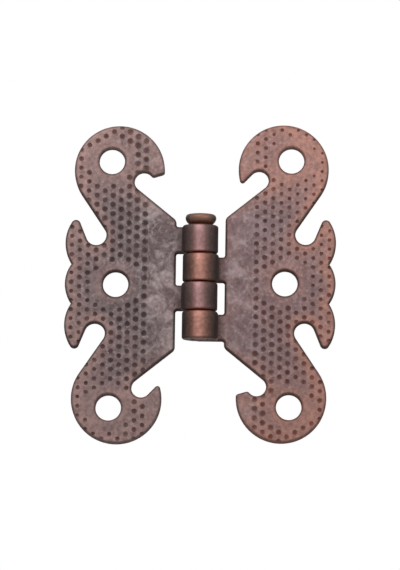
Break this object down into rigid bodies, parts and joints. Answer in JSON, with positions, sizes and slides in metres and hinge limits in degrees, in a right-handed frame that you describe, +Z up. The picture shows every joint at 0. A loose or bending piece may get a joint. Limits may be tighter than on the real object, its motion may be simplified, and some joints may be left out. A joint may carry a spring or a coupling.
{
  "type": "butterfly hinge",
  "caption": "Butterfly cabinet hinge: stamped leaves with punched faces, hooked lobes and rolled knuckles, turning on a headed pin.",
  "frame": {"origin": "on the pin axis, half way along the barrel, which is the middle of the open hinge", "axes": "+Z up along the pin towards its head, +X towards the right leaf, -Y out of the show faces, +Y into the surface that the leaves are screwed to"},
  "size_m": [0.0488, 0.0064, 0.0582],
  "materials": {
    "leaf": "antique copper plate, tumbled, dark in the pits and rubbed bright on the rims",
    "pin": "antique copper plate, rubbed brown on the head"
  },
  "bodies": {
    "left_half": {"left_leaf": "leaf", "hinge_pin": "pin"},
    "right_half": {"right_leaf": "leaf"}
  },
  "joints": [
    {"name": "leaf_swing", "type": "hinge", "parent": "left_half", "child": "right_half", "pos_m": [0, 0, 0], "axis": [0, 0, -1], "range_deg": [-105, 180]}
  ]
}
